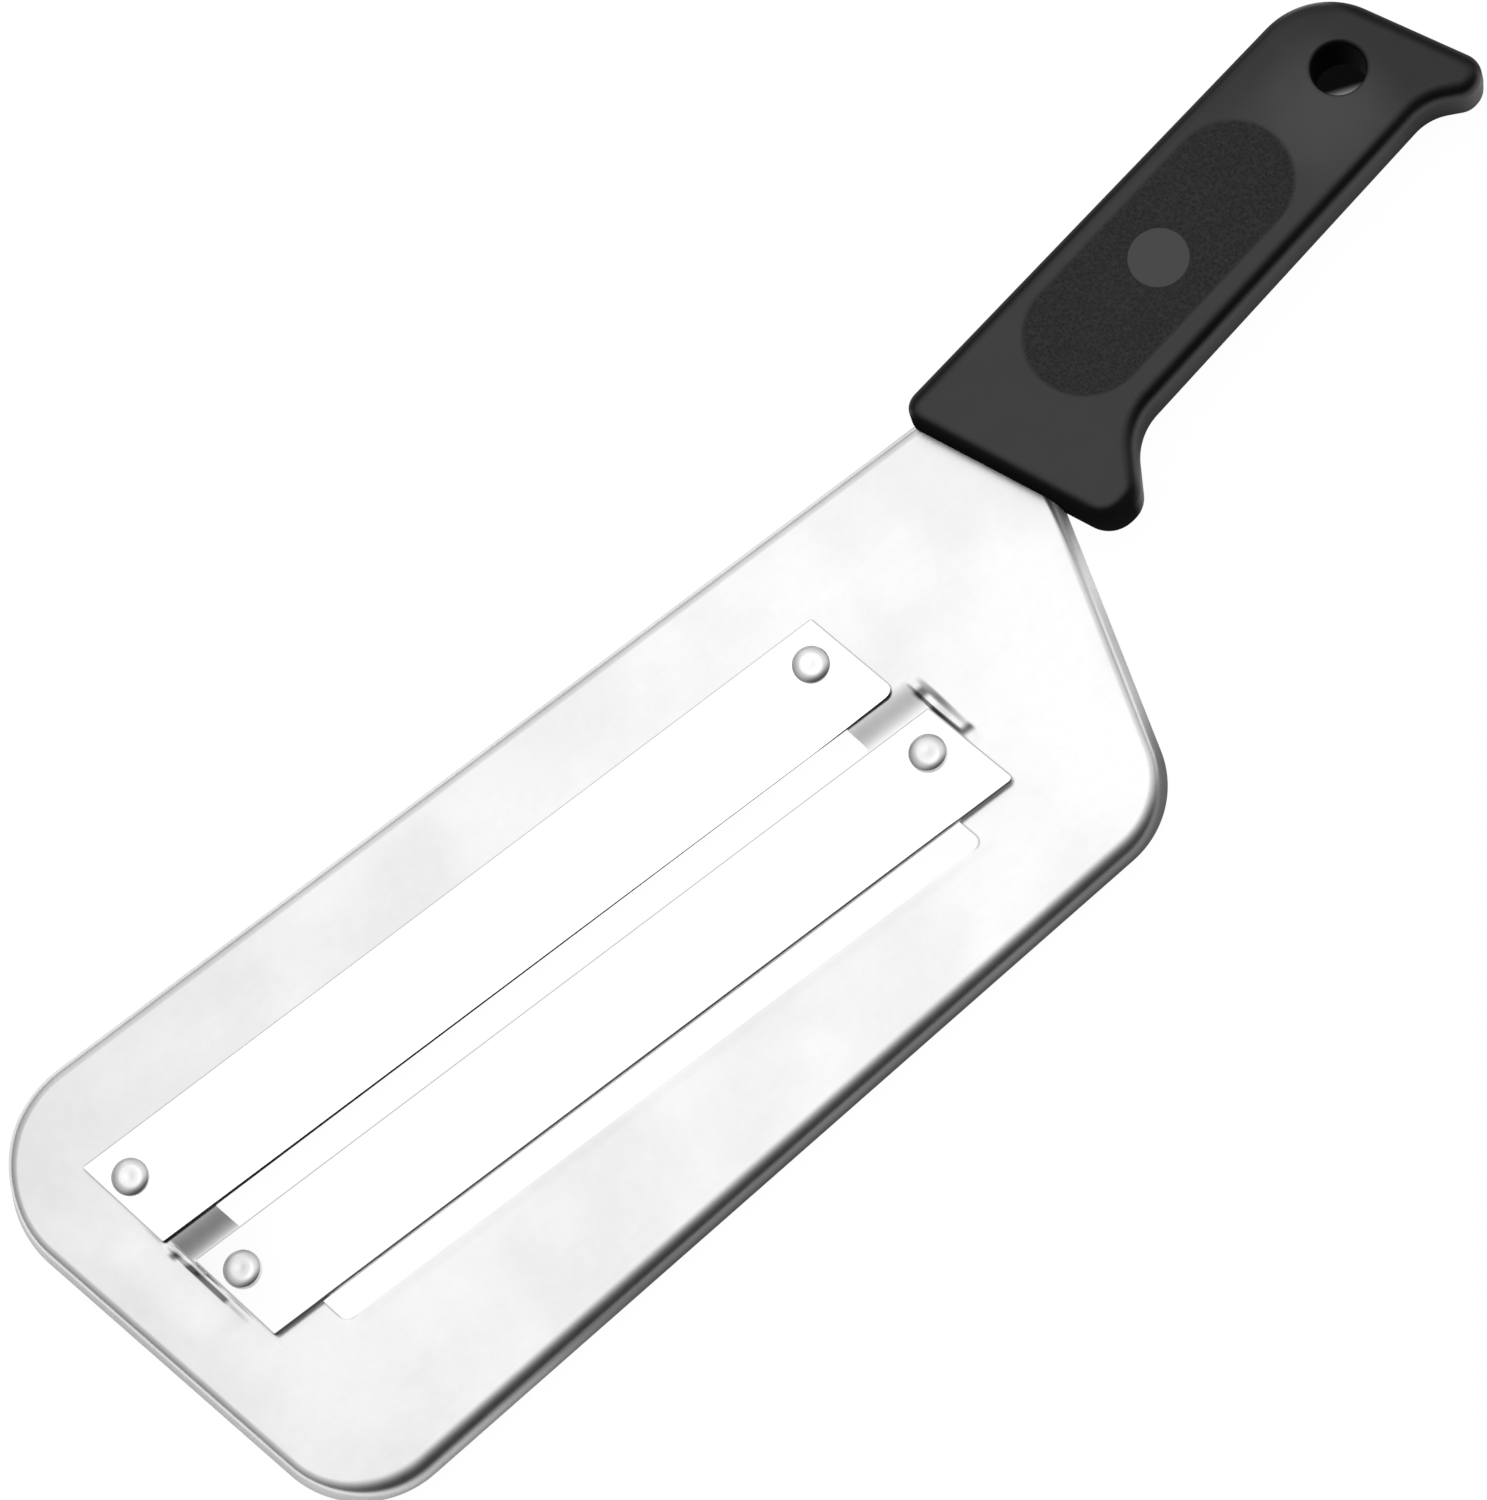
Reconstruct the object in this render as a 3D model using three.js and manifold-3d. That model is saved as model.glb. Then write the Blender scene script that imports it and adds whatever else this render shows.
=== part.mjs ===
// Hand-held cabbage shredder: a pressed steel plate with a turned-down rim, two riveted slicing
// blades over two slots, and a handle moulded round the plate's tang.
// Millimetres and degrees. X runs along the blades towards the handle, Y towards the straight back
// edge, Z up out of the cutting face. While it is built, plan positions are measured from the middle
// of the upper blade and heights from the top face of the plate.

import * as THREE from 'three';
import { mergeVertices } from 'three/addons/utils/BufferGeometryUtils.js';
import Module from 'manifold-3d';

const wasm = await Module();
wasm.setup();

// Blades
const bladeLength = 151;
const bladeWidth = 19;
const bladeThickness = 0.8;
const bladeSkew = 12;
const bladeCornerRadius = 0.6;
const bevelWidth = 0.7;
const edgeThickness = 0.12;
const shredGap = 5.25;
const lowerBladeShift = 6.4;
const lowerBladeTilt = 5.5;

// Rivets
const rivetHeadDiameter = 6.7;
const rivetHeadHeight = 1.5;
const rivetCrownDiameter = 2.6;
const rivetShankDiameter = 3;
const rivetTailDiameter = 5.2;
const rivetTailHeight = 0.9;
const rivetEndMargin = 5.25;
const rivetTipShift = 1.45;
const rivetBack = 3.1;
const rivetClearance = 0.15;

// Plate outline, as margins round the blades
const sheet = 0.9;
const tipMargin = 22.2;
const backMargin = 17.05;
const frontMargin = 34.1;
const shoulderMargin = 27.2;
const tipLean = 13.5;
const frontRise = 4.4;
const shoulderLean = 16;
const backCornerRadius = 20.5;
const frontCornerRadius = 18.5;
const shoulderRadius = 16.5;
const neckCornerRadius = 5;
const rimDepth = 4.8;
const rimBend = 3.5;

// Slots and the pressed seat of the lower blade
const slotEndMargin = 10.5;
const slotCornerRadius = 1.2;
const bladeOverhang = 5.2;
const frontSlotGap = 4.95;
const frontSlotShift = 0.9;
const slotTuck = 0.3;
const seatGap = 0.25;
const seatEndClearance = 1.1;
const seatWallRun = 1.8;
const rampTuck = 1.5;
const rampDrop = 1.9;
const rampFootRun = 3.6;
const pressMargin = 1;

// Handle, drawn about the middle of its grip with its own axis along X
const handleAngle = 10.2;
const handleReach = 29.68;
const handleDrop = 5.6;
const handleThickness = 11.4;
const handleFillet = 3;
const handleDraft = 2;
const gripFrontLength = 48.3;
const gripEndLength = 52.3;
const gripBackAtFront = 16.45;
const gripBackAtEnd = 15.45;
const gripFingerAtFront = 15.2;
const gripFingerAtEnd = 13.95;
const frontSlant = 13;
const endSlant = 15;
const frontHookReach = 23.8;
const frontHookWidth = 7.2;
const frontHookSlope = 46;
const endHookReach = 18.55;
const endHookWidth = 7;
const endHookSlope = 40;
const gripBackCornerRadius = 3.8;
const gripEndRadius = 14;
const frontHookInnerRadius = 5;
const frontHookOuterRadius = 6;
const endHookInnerRadius = 4;
const endHookOuterRadius = 4.1;
const fingerFrontRadius = 11;
const fingerEndRadius = 9;
const hangingHoleDiameter = 9.2;
const hangingHoleReach = 43.75;
const hangingHoleLip = 1.2;
const faceShift = 0.85;
const panelLength = 56;
const panelWidth = 19.4;
const panelDepth = 0.3;
const discDiameter = 10.4;

// Tang inside the handle
const tangWidth = 16;
const tangReach = 24;
const tangCornerRadius = 5;
const tangHoleDiameter = 6;
const tangHoleSpacing = 26;
const rimTuck = 4;
const tangClearance = 0.3;

// Finishes
const plateFinish = { color: 0xe2e3e4, roughness: 0.38, metalness: 1 };
const bladeFinish = { color: 0xf0f1f2, roughness: 0.18, metalness: 1 };
const rivetFinish = { color: 0xd9dadb, roughness: 0.25, metalness: 1 };
const handleFinish = { color: 0x2a2a2b, roughness: 0.5, metalness: 0 };

// Facets
const cornerSteps = 8;
const bendSteps = 4;
const smallCornerSteps = 3;
const roundSides = 24;
const rampSteps = 5;
const seatSteps = 8;
const overshoot = 2;
const leastRadius = 0.05;
const mergeDistance = 1e-4;

const radians = THREE.MathUtils.degToRad;
const slope = (degrees) => Math.tan(radians(degrees));

// Places that follow from the driving dimensions
const bladePitch = bladeWidth + shredGap;
const upperFrontY = -bladeWidth / 2;
const lowerMiddle = new THREE.Vector2(lowerBladeShift, -bladePitch);
const lowerRun = bladeWidth * Math.cos(radians(lowerBladeTilt));
const lowerRearY = lowerMiddle.y + bladeWidth / 2;
const lowerFrontY = lowerRearY - lowerRun;
const lowerLevelY = (lowerRearY + lowerFrontY) / 2;
const slotLength = bladeLength - 2 * slotEndMargin;
const halfThickness = handleThickness / 2;

// Solids

function geometryFrom(points, triangles) {
  const geometry = new THREE.BufferGeometry();
  const numbers = points.flatMap((p) => [p.x, p.y, p.z]);
  geometry.setAttribute('position', new THREE.Float32BufferAttribute(numbers, 3));
  geometry.setIndex(triangles.flat());
  return geometry;
}

function solidFrom(geometry) {
  const bare = geometry.clone();
  bare.deleteAttribute('normal');
  bare.deleteAttribute('uv');
  const merged = mergeVertices(bare, mergeDistance);
  const vertProperties = new Float32Array(merged.attributes.position.array);
  const triVerts = new Uint32Array(merged.index.array);
  return new wasm.Manifold(new wasm.Mesh({ numProp: 3, vertProperties, triVerts }));
}

function geometryOf(solid) {
  const { vertProperties, triVerts } = solid.getMesh();
  const geometry = new THREE.BufferGeometry();
  geometry.setAttribute('position', new THREE.BufferAttribute(new Float32Array(vertProperties), 3));
  geometry.setIndex(new THREE.BufferAttribute(new Uint32Array(triVerts), 1));
  const faceted = geometry.toNonIndexed();
  faceted.computeVertexNormals();
  return faceted;
}

// Arc data for a closed outline of corners { x, y, r } listed counter-clockwise.
function outlineArcs(corners) {
  return corners.map((corner, i) => {
    const here = new THREE.Vector2(corner.x, corner.y);
    const before = corners[(i + corners.length - 1) % corners.length];
    const after = corners[(i + 1) % corners.length];
    const into = here.clone().sub(before).normalize();
    const out = new THREE.Vector2(after.x, after.y).sub(here).normalize();
    const turn = Math.atan2(into.cross(out), into.dot(out));
    const side = Math.sign(turn);
    const inward = new THREE.Vector2(-into.y, into.x);
    const start = here.clone().addScaledVector(into, -corner.r * Math.tan(Math.abs(turn) / 2));
    const centre = start.addScaledVector(inward, side * corner.r);
    const from = Math.atan2(-side * inward.y, -side * inward.x);
    return { centre, radius: corner.r, side, from, turn };
  });
}

// The outline's points moved inwards by inset, with the same count for every inset.
function outlinePoints(arcs, inset, z, steps = cornerSteps) {
  return arcs.flatMap(({ centre, radius, side, from, turn }) => {
    const reach = Math.max(radius - side * inset, leastRadius);
    return Array.from({ length: steps + 1 }, (_, k) => {
      const angle = from + (turn * k) / steps;
      return new THREE.Vector3(centre.x + reach * Math.cos(angle), centre.y + reach * Math.sin(angle), z);
    });
  });
}

// A closed body through level rings, lowest first, each with the same number of points.
function loft(rings) {
  const count = rings[0].length;
  const triangles = [];
  for (let level = 0; level + 1 < rings.length; level += 1) {
    for (let k = 0; k < count; k += 1) {
      const a = level * count + k;
      const b = level * count + ((k + 1) % count);
      triangles.push([a, b, b + count], [a, b + count, a + count]);
    }
  }
  const top = (rings.length - 1) * count;
  const cap = (ring) => THREE.ShapeUtils.triangulateShape(ring.map((p) => new THREE.Vector2(p.x, p.y)), []);
  cap(rings[0]).forEach(([a, b, c]) => triangles.push([a, c, b]));
  cap(rings.at(-1)).forEach(([a, b, c]) => triangles.push([top + a, top + b, top + c]));
  return geometryFrom(rings.flat(), triangles);
}

function prism(arcs, inset, low, high, steps = cornerSteps) {
  return solidFrom(loft([outlinePoints(arcs, inset, low, steps), outlinePoints(arcs, inset, high, steps)]));
}

// A body of revolution about Z from [radius, height] pairs, lowest first, ending on the axis.
function turned(profile) {
  const points = profile.map(([radius, height]) => new THREE.Vector2(radius, height));
  return new THREE.LatheGeometry(points, roundSides).rotateX(Math.PI / 2);
}

function rod(diameter, low, high, x = 0, y = 0) {
  const bar = new THREE.CylinderGeometry(diameter / 2, diameter / 2, high - low, roundSides);
  return solidFrom(bar.rotateX(Math.PI / 2).translate(x, y, (low + high) / 2));
}

// Parallelogram with its ends skewed like the blades, between two Y lines.
function skewedCorners(middle, length, rearY, frontY, radius) {
  const lean = slope(bladeSkew);
  const at = (end, y) => ({ x: middle.x + (end * length) / 2 - (y - middle.y) * lean, y, r: radius });
  return [at(-1, rearY), at(-1, frontY), at(1, frontY), at(1, rearY)];
}

// Blades

function rivetPlaces() {
  const half = bladeLength / 2 - rivetEndMargin;
  return [-half, half].map((x) => new THREE.Vector2(x - rivetTipShift, rivetBack));
}

// Flat blade with a ground bevel that runs down to its front edge, and a hole for each rivet.
function bladeSolid() {
  const half = bladeWidth / 2;
  const middle = new THREE.Vector2();
  const ring = (trim, z) => {
    const corners = skewedCorners(middle, bladeLength, half, trim - half, bladeCornerRadius);
    return outlinePoints(outlineArcs(corners), 0, z, smallCornerSteps);
  };
  const blank = solidFrom(loft([ring(0, 0), ring(0, edgeThickness), ring(bevelWidth, bladeThickness)]));
  const hole = rivetShankDiameter + 2 * rivetClearance;
  return rivetPlaces().reduce(
    (body, place) => body.subtract(rod(hole, -overshoot, bladeThickness + overshoot, place.x, place.y)),
    blank,
  );
}

// Rivet with a domed head that is flattened at its crown, a shank and a clenched tail.
function rivetGeometry(grip) {
  const head = rivetHeadDiameter / 2;
  const shank = rivetShankDiameter / 2;
  const crown = rivetCrownDiameter / 2;
  const dome = Array.from({ length: bendSteps + 1 }, (_, k) => {
    const angle = (Math.PI / 2) * (k / bendSteps);
    return [crown + (head - crown) * Math.cos(angle), rivetHeadHeight * Math.sin(angle)];
  });
  const tail = [
    [0, -grip - rivetTailHeight],
    [rivetTailDiameter / 2 - rivetTailHeight / 2, -grip - rivetTailHeight],
    [rivetTailDiameter / 2, -grip - rivetTailHeight / 2],
    [rivetTailDiameter / 2, -grip],
    [shank, -grip],
    [shank, 0],
  ];
  return turned([...tail, ...dome, [0, rivetHeadHeight]]);
}

// Plate

const plateBackY = bladeWidth / 2 + backMargin;
const plateFrontY = lowerMiddle.y - bladeWidth / 2 - frontMargin;
const backCorner = { x: -bladeLength / 2 - tipMargin, y: plateBackY, r: backCornerRadius };
const frontCorner = {
  x: backCorner.x + (plateBackY - plateFrontY) * slope(tipLean),
  y: plateFrontY,
  r: frontCornerRadius,
};
const shoulderX = bladeLength / 2 + shoulderMargin;
const shoulder = {
  x: shoulderX,
  y: plateFrontY + (shoulderX - frontCorner.x) * slope(frontRise),
  r: shoulderRadius,
};
const neckCorner = {
  x: shoulderX + (plateBackY - shoulder.y) * slope(shoulderLean),
  y: plateBackY,
  r: neckCornerRadius,
};
const plateArcs = outlineArcs([backCorner, frontCorner, shoulder, neckCorner]);

// The tray-shaped pressing: a flat top with its whole edge turned down. The clearance thickens the
// sheet on both sides, for the room that it needs inside the handle.
function traySolid(clearance) {
  const bend = (radius, inset, top) =>
    Array.from({ length: bendSteps + 1 }, (_, k) => {
      const angle = (Math.PI / 2) * (k / bendSteps);
      const run = inset + radius * (1 - Math.cos(angle));
      return outlinePoints(plateArcs, run, top - radius * (1 - Math.sin(angle)));
    });
  const outerFoot = outlinePoints(plateArcs, -clearance, -rimDepth - clearance);
  const outer = loft([outerFoot, ...bend(rimBend + clearance, -clearance, clearance)]);
  const wall = sheet + clearance;
  const innerFoot = outlinePoints(plateArcs, wall, -rimDepth - clearance - overshoot);
  const inner = loft([innerFoot, ...bend(rimBend - wall, wall, -wall)]);
  return solidFrom(outer).subtract(solidFrom(inner));
}

const smooth = (t) => THREE.MathUtils.smoothstep(t, 0, 1);
const seatFloor = (y) => -seatGap - (y - lowerLevelY) * slope(lowerBladeTilt);
const rampTopY = upperFrontY + rampTuck;
const seatFrontY = lowerLevelY - seatGap / slope(lowerBladeTilt);

// Height of the pressing along one line across the plate, inside its ends: a ramp down from under the
// upper blade into a trough, then the sloping seat, which runs out into the flat plate.
function pressedProfile(y) {
  if (y >= lowerRearY) {
    return -rampDrop * smooth((rampTopY - y) / (rampTopY - lowerRearY));
  }
  const foot = smooth((lowerRearY - y) / rampFootRun);
  return Math.min(THREE.MathUtils.lerp(-rampDrop, seatFloor(y), foot), 0);
}

// The pressing ends in a short wall past each end of the blade.
function pressedHeight(alongBlade, y) {
  const half = bladeLength / 2 + seatEndClearance;
  return pressedProfile(y) * smooth((half + seatWallRun - Math.abs(alongBlade)) / seatWallRun);
}

const between = (from, to, steps) =>
  Array.from({ length: steps }, (_, k) => THREE.MathUtils.lerp(from, to, k / steps));

// The formed sheet of the seat, as a patch of even thickness on a skewed grid.
function pressedPatch() {
  const inner = bladeLength / 2 + seatEndClearance;
  const outer = inner + seatWallRun;
  const end = [...between(inner, outer, rampSteps), outer, outer + pressMargin];
  const columns = [...end.toReversed().map((u) => -u), ...end];
  const rows = [
    rampTopY + pressMargin,
    ...between(rampTopY, lowerRearY, rampSteps),
    ...between(lowerRearY, lowerRearY - rampFootRun, rampSteps),
    ...between(lowerRearY - rampFootRun, seatFrontY, seatSteps),
    seatFrontY,
    seatFrontY - pressMargin,
  ];
  const lean = slope(bladeSkew);
  const wide = columns.length;
  const tall = rows.length;
  const face = (drop) =>
    rows.flatMap((y) =>
      columns.map((u) => {
        const x = lowerMiddle.x + u - (y - lowerMiddle.y) * lean;
        return new THREE.Vector3(x, y, pressedHeight(u, y) - drop);
      }),
    );
  const points = [...face(0), ...face(sheet)];
  const under = tall * wide;
  const triangles = [];
  for (let row = 0; row + 1 < tall; row += 1) {
    for (let k = 0; k + 1 < wide; k += 1) {
      const a = row * wide + k;
      const b = a + wide;
      triangles.push([a, b, a + 1], [a + 1, b, b + 1]);
      triangles.push([under + a, under + a + 1, under + b], [under + a + 1, under + b + 1, under + b]);
    }
  }
  const run = (count, at) => Array.from({ length: count }, (_, k) => at(k));
  const border = [
    ...run(wide - 1, (k) => k),
    ...run(tall - 1, (row) => row * wide + wide - 1),
    ...run(wide - 1, (k) => tall * wide - 1 - k),
    ...run(tall - 1, (row) => (tall - 1 - row) * wide),
  ];
  border.forEach((a, k) => {
    const b = border[(k + 1) % border.length];
    triangles.push([a, b, under + b], [a, under + b, under + a]);
  });
  const window = skewedCorners(lowerMiddle, 2 * outer, rampTopY, seatFrontY, 0);
  return { formed: solidFrom(geometryFrom(points, triangles)), window: outlineArcs(window) };
}

// Handle frame

const handleMiddle = new THREE.Vector2(neckCorner.x + handleReach, neckCorner.y - handleDrop);
const tangMiddleZ = -sheet / 2;
const handleMatrix = new THREE.Matrix4()
  .makeRotationZ(radians(handleAngle))
  .setPosition(handleMiddle.x, handleMiddle.y, tangMiddleZ);
const plateToHandle = handleMatrix.clone().invert();

const frontLine = (y) => -gripFrontLength + (gripBackAtFront - y) * slope(frontSlant);
const endLine = (y) => gripEndLength + (gripBackAtEnd - y) * slope(endSlant);

// The tang's own outline in the handle frame, starting where the tray is still flat.
const tangStart = frontLine(tangWidth / 2);
const tangArcs = outlineArcs([
  { x: tangStart, y: tangWidth / 2, r: 0 },
  { x: tangStart, y: -tangWidth / 2, r: 0 },
  { x: tangReach, y: -tangWidth / 2, r: tangCornerRadius },
  { x: tangReach, y: tangWidth / 2, r: tangCornerRadius },
]);
const tangHoles = [tangReach - tangWidth / 2, tangReach - tangWidth / 2 - tangHoleSpacing];

// A block of all that lies ahead of a plane inside the handle, parallel to its front face.
function aheadOf(depth) {
  const reach = 2 * (tipMargin + bladeLength + shoulderMargin + handleReach);
  return new THREE.BoxGeometry(reach, reach, 2 * (rimDepth + handleThickness))
    .translate(depth - reach / 2, 0, 0)
    .rotateZ(radians(frontSlant))
    .translate(-gripFrontLength, gripBackAtFront, 0);
}

function inPlateFrame(geometry) {
  return solidFrom(geometry.clone().applyMatrix4(handleMatrix));
}

function plateSolid() {
  const tang = loft([outlinePoints(tangArcs, 0, -sheet / 2), outlinePoints(tangArcs, 0, sheet / 2)]);
  const { formed, window } = pressedPatch();
  let body = traySolid(0).intersect(inPlateFrame(aheadOf(rimTuck))).add(inPlateFrame(tang));
  body = body.subtract(prism(window, 0, -sheet - overshoot, overshoot, 1)).add(formed);

  const deep = rimDepth + overshoot;
  const middleSlot = skewedCorners(
    new THREE.Vector2(),
    slotLength,
    upperFrontY + bladeOverhang,
    lowerRearY - slotTuck,
    slotCornerRadius,
  );
  const frontSlot = skewedCorners(
    new THREE.Vector2(lowerMiddle.x - frontSlotShift, lowerMiddle.y),
    slotLength,
    lowerFrontY + bladeOverhang,
    lowerFrontY - frontSlotGap,
    slotCornerRadius,
  );
  [middleSlot, frontSlot].forEach((corners) => {
    body = body.subtract(prism(outlineArcs(corners), 0, -deep, overshoot, smallCornerSteps));
  });

  const hole = rivetShankDiameter + 2 * rivetClearance;
  rivetPlaces().forEach((place) => {
    body = body.subtract(rod(hole, -deep, overshoot, place.x, place.y));
    const tilted = new THREE.CylinderGeometry(hole / 2, hole / 2, 2 * deep, roundSides).rotateX(Math.PI / 2);
    tilted.translate(place.x, place.y, 0).applyMatrix4(lowerBladeMatrix);
    body = body.subtract(solidFrom(tilted));
  });
  tangHoles.forEach((x) => {
    const bar = new THREE.CylinderGeometry(tangHoleDiameter / 2, tangHoleDiameter / 2, 2 * deep, roundSides);
    body = body.subtract(inPlateFrame(bar.rotateX(Math.PI / 2).translate(x, 0, 0)));
  });
  return body;
}

// The lower blade is tilted about its middle line, which stays level with the plate: its rear edge
// is sunk and its cutting edge stands up.
const lowerBladeGroup = new THREE.Group();
lowerBladeGroup.rotation.x = -radians(lowerBladeTilt);
lowerBladeGroup.position.set(lowerMiddle.x, lowerLevelY, 0);
lowerBladeGroup.updateMatrix();
const lowerBladeMatrix = lowerBladeGroup.matrix;

// Handle

const fingerY = (x) => {
  const share = (x + gripFrontLength) / (gripEndLength + gripFrontLength);
  return -THREE.MathUtils.lerp(gripFingerAtFront, gripFingerAtEnd, share);
};

function handleCorners() {
  const frontFoot = frontLine(-frontHookReach);
  const frontNose = frontFoot + frontHookWidth;
  const fingerFront = frontNose + (frontHookReach - gripFingerAtFront) / slope(frontHookSlope);
  const endFoot = endLine(-endHookReach);
  const endNose = endFoot - endHookWidth;
  const fingerEnd = endNose - (endHookReach - gripFingerAtEnd) / slope(endHookSlope);
  return [
    { x: -gripFrontLength, y: gripBackAtFront, r: gripBackCornerRadius },
    { x: frontFoot, y: -frontHookReach, r: frontHookOuterRadius },
    { x: frontNose, y: -frontHookReach, r: frontHookInnerRadius },
    { x: fingerFront, y: fingerY(fingerFront), r: fingerFrontRadius },
    { x: fingerEnd, y: fingerY(fingerEnd), r: fingerEndRadius },
    { x: endNose, y: -endHookReach, r: endHookInnerRadius },
    { x: endFoot, y: -endHookReach, r: endHookOuterRadius },
    { x: gripEndLength, y: gripBackAtEnd, r: gripEndRadius },
  ];
}

// Moulded body: widest at its parting line half way up, drafted and rounded towards both faces.
function handleBlank() {
  const arcs = outlineArcs(handleCorners());
  const wallTop = halfThickness - handleFillet;
  const draftAt = (z) => Math.abs(z) * slope(handleDraft);
  const fillet = Array.from({ length: bendSteps + 1 }, (_, k) => {
    const angle = (Math.PI / 2) * (k / bendSteps);
    return {
      z: wallTop + handleFillet * Math.sin(angle),
      inset: draftAt(wallTop) + handleFillet * (1 - Math.cos(angle)),
    };
  });
  const underside = fillet.toReversed().map(({ z, inset }) => ({ z: -z, inset }));
  const levels = [...underside, { z: 0, inset: 0 }, ...fillet];
  return solidFrom(loft(levels.map(({ z, inset }) => outlinePoints(arcs, inset, z))));
}

function hangingHole() {
  const radius = hangingHoleDiameter / 2;
  const lip = Array.from({ length: smallCornerSteps + 1 }, (_, k) => {
    const angle = (Math.PI / 2) * (k / smallCornerSteps);
    const run = radius + hangingHoleLip * (1 - Math.cos(angle));
    return [run, halfThickness - hangingHoleLip * (1 - Math.sin(angle))];
  });
  const wide = radius + hangingHoleLip;
  const upper = [...lip, [wide, halfThickness + overshoot], [0, halfThickness + overshoot]];
  const lower = upper.toReversed().map(([run, z]) => [run, -z]);
  return solidFrom(turned([...lower, ...upper]).translate(hangingHoleReach, faceShift, 0));
}

// Shallow grained panel with a smooth round island at its middle, cut into one face.
function panelRecess(side) {
  const straight = (panelLength - panelWidth) / 2;
  const shape = new THREE.Shape();
  shape.absarc(straight, 0, panelWidth / 2, -Math.PI / 2, Math.PI / 2);
  shape.absarc(-straight, 0, panelWidth / 2, Math.PI / 2, (3 * Math.PI) / 2);
  shape.closePath();
  const island = new THREE.Path();
  island.absarc(0, 0, discDiameter / 2, 0, 2 * Math.PI);
  shape.holes.push(island);
  const depth = panelDepth + overshoot;
  const block = new THREE.ExtrudeGeometry(shape, { depth, bevelEnabled: false, curveSegments: cornerSteps });
  const low = side > 0 ? halfThickness - panelDepth : -halfThickness - overshoot;
  return solidFrom(block.translate(0, faceShift, low));
}

// Room for the tray's end and the tang, with the pegs that fill the tang's holes left standing.
function tangPocket() {
  const tray = solidFrom(geometryOf(traySolid(tangClearance)).applyMatrix4(plateToHandle));
  const end = tray.intersect(solidFrom(aheadOf(rimTuck + tangClearance)));
  const half = sheet / 2 + tangClearance;
  const slot = prism(tangArcs, -tangClearance, -half, half);
  const peg = tangHoleDiameter - 2 * tangClearance;
  const room = tangHoles.reduce((body, x) => body.subtract(rod(peg, -overshoot, overshoot, x)), slot);
  return end.add(room);
}

function handleSolid() {
  return handleBlank()
    .subtract(hangingHole())
    .subtract(panelRecess(1))
    .subtract(panelRecess(-1))
    .subtract(tangPocket());
}

// Assembly

function piece(name, geometry, finish) {
  const mesh = new THREE.Mesh(geometry, new THREE.MeshStandardMaterial(finish));
  mesh.name = name;
  return mesh;
}

function addRivets(group, names, grip, seat) {
  rivetPlaces().forEach((place, k) => {
    const rivet = piece(names[k], rivetGeometry(grip), rivetFinish);
    rivet.position.set(place.x, place.y, seat);
    group.add(rivet);
  });
}

const tool = new THREE.Group();
tool.add(piece('body_plate', geometryOf(plateSolid()), plateFinish));
tool.add(piece('upper_blade', geometryOf(bladeSolid()), bladeFinish));
addRivets(tool, ['rivet_upper_tip', 'rivet_upper_handle'], sheet + bladeThickness, bladeThickness);

lowerBladeGroup.add(piece('lower_blade', geometryOf(bladeSolid()), bladeFinish));
const lowerSeat = bladeThickness + seatGap;
const lowerGrip = lowerSeat + seatGap + sheet + seatGap;
addRivets(lowerBladeGroup, ['rivet_lower_tip', 'rivet_lower_handle'], lowerGrip, lowerSeat);
tool.add(lowerBladeGroup);

const handleGroup = new THREE.Group();
handleGroup.rotation.z = radians(handleAngle);
handleGroup.position.set(handleMiddle.x, handleMiddle.y, tangMiddleZ);
handleGroup.add(piece('handle', geometryOf(handleSolid()), handleFinish));
tool.add(handleGroup);

// The finished tool stands with the middle of its box on the origin.
const box = new THREE.Box3().setFromObject(tool, true);
const middle = box.getCenter(new THREE.Vector3());
tool.position.set(-middle.x, -middle.y, -box.min.z);

const shredder = new THREE.Group();
shredder.add(tool);
export default shredder;
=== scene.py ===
import math

import bmesh
import bpy
from mathutils import Matrix, Vector


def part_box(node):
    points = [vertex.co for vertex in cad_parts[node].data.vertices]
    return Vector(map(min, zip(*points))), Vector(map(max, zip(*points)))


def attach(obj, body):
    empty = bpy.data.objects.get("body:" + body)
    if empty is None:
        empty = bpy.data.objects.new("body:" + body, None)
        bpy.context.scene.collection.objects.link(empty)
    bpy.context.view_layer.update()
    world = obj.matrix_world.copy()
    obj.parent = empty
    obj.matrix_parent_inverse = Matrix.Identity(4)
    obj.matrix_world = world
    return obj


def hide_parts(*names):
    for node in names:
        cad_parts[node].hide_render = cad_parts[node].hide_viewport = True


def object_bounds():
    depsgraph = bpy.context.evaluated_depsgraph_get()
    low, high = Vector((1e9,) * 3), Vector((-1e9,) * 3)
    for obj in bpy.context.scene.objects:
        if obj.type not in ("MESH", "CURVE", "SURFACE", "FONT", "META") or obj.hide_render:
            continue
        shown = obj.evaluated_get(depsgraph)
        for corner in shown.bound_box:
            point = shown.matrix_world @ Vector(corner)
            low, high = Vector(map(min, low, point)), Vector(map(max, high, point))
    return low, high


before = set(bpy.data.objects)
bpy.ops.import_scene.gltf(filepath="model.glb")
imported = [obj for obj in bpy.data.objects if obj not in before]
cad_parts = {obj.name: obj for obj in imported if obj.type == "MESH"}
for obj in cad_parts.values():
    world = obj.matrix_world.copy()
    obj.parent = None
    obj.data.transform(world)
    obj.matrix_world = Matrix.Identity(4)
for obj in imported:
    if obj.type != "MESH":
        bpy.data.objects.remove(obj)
cadLow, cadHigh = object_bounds()
scene = bpy.context.scene
print("frame loaded, nodes:", sorted(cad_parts))

# Everything is drawn in millimetres about the middle of the upper blade, on the plate's top face.
millimetre = 0.001
bladeLow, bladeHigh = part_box("upper_blade")
bladeMiddle = (bladeLow + bladeHigh) / 2
drawing = Matrix.Translation((bladeMiddle.x, bladeMiddle.y, bladeLow.z)) @ Matrix.Scale(millimetre, 4)


# Mesh tools

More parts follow.
